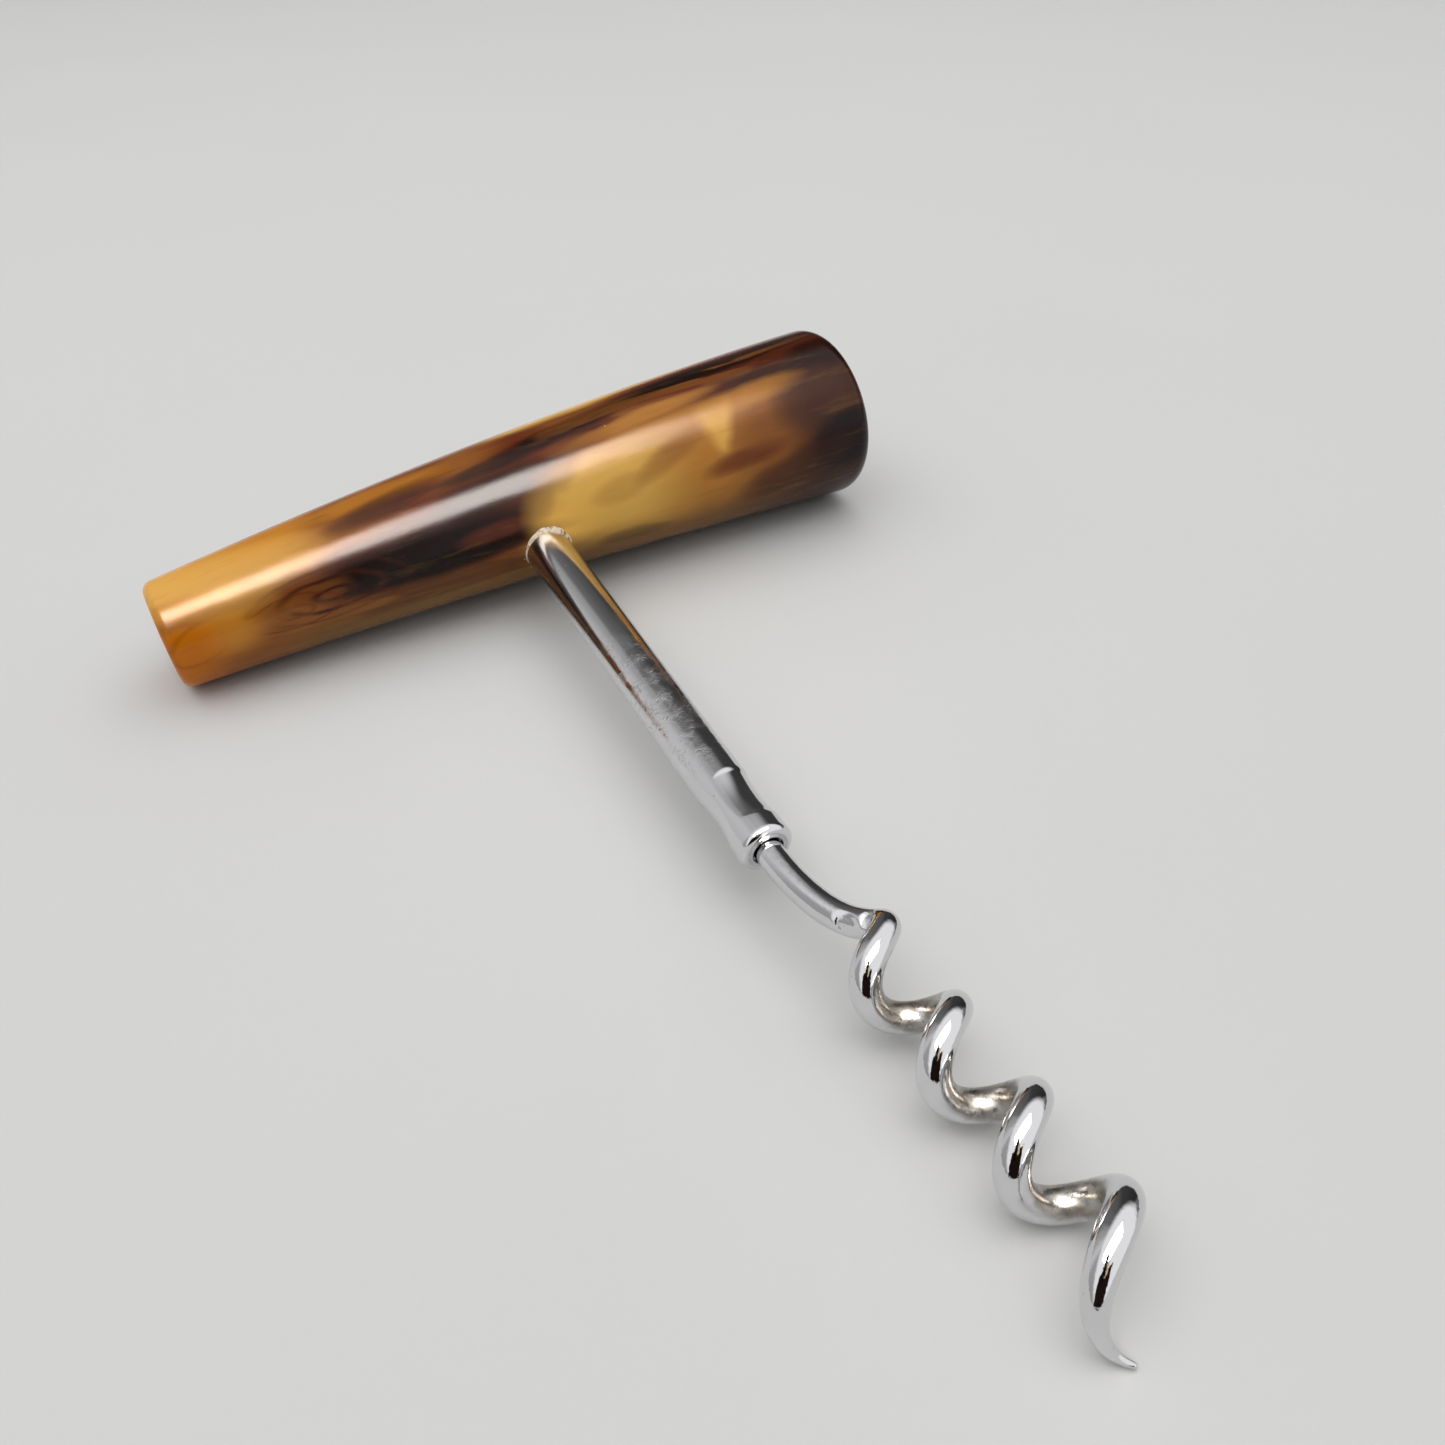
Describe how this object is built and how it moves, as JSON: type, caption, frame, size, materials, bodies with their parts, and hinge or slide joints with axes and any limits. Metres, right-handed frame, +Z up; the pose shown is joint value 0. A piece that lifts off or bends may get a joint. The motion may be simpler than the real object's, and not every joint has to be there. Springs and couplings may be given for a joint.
{
  "type": "corkscrew",
  "caption": "Direct-pull corkscrew: tapered marbled resin crossbar handle with a plated steel shank cemented into it and a right-hand wire worm crimped into the shank's end.",
  "frame": {"origin": "on the table, under the middle of the box round the whole tool as it lies", "axes": "+Z up from the table; +X along the handle towards its big end; the worm points to -Y"},
  "size_m": [0.1052, 0.1419, 0.026],
  "materials": {
    "marbled_resin": "polished cast resin, marbled amber, olive and near-black",
    "plated_steel": "bright plating with fine frosting and light wear",
    "plated_wire": "bright plating, duller and brownish inside the turns",
    "cement": "dull off-white set cement"
  },
  "bodies": {
    "root": {"handle": "marbled_resin", "shank": "plated_steel", "worm": "plated_wire", "cement": "cement"}
  },
  "joints": []
}
